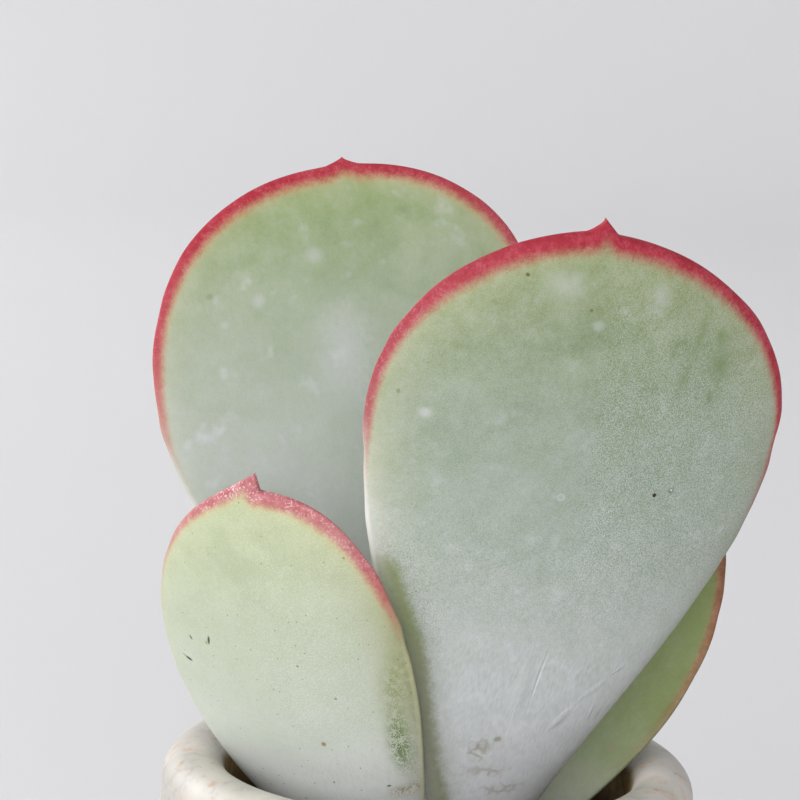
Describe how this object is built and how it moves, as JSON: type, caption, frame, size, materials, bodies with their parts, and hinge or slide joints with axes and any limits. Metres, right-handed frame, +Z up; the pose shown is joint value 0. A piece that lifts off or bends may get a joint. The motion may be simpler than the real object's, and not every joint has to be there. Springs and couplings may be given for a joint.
{
  "type": "potted cotyledon",
  "caption": "Young potted cotyledon: crossed pairs of thick paddle-shaped leaves with a short point, a red margin and a waxy bloom, rooted in a small stoneware pot with a rolled lip.",
  "frame": {"origin": "middle of the pot's flat underside, on its vertical axis", "axes": "+Z up along the pot's axis, -Y towards the side the picture was taken from, +X to that viewer's right"},
  "size_m": [0.074, 0.069, 0.1207],
  "materials": {
    "pot_glaze": "cream satin glaze with warm mottling and fine dark specks, bare brown clay inside",
    "potting_mix": "dark crumbly mix",
    "clay_grit": "porous orange-brown fired clay grains",
    "stem_bark": "fleshy green-brown stem with leaf scars",
    "leaf_sage_front": "waxy sage green under white bloom, crimson margin",
    "leaf_sage_back": "waxy sage green with bloom patches, crimson margin",
    "leaf_lime": "waxy yellow-green, white bloom at the base, pink margin",
    "leaf_green": "waxy mid green, orange-red margin",
    "young_leaf": "pale green young leaves with white bloom"
  },
  "bodies": {
    "root": {"pot": "pot_glaze", "soil": "potting_mix", "grit_top_dressing": "clay_grit", "stem": "stem_bark", "leaf_large_front": "leaf_sage_front", "leaf_large_back": "leaf_sage_back", "leaf_small_front": "leaf_lime", "leaf_small_back": "leaf_green", "growing_tip": "young_leaf"}
  },
  "joints": []
}
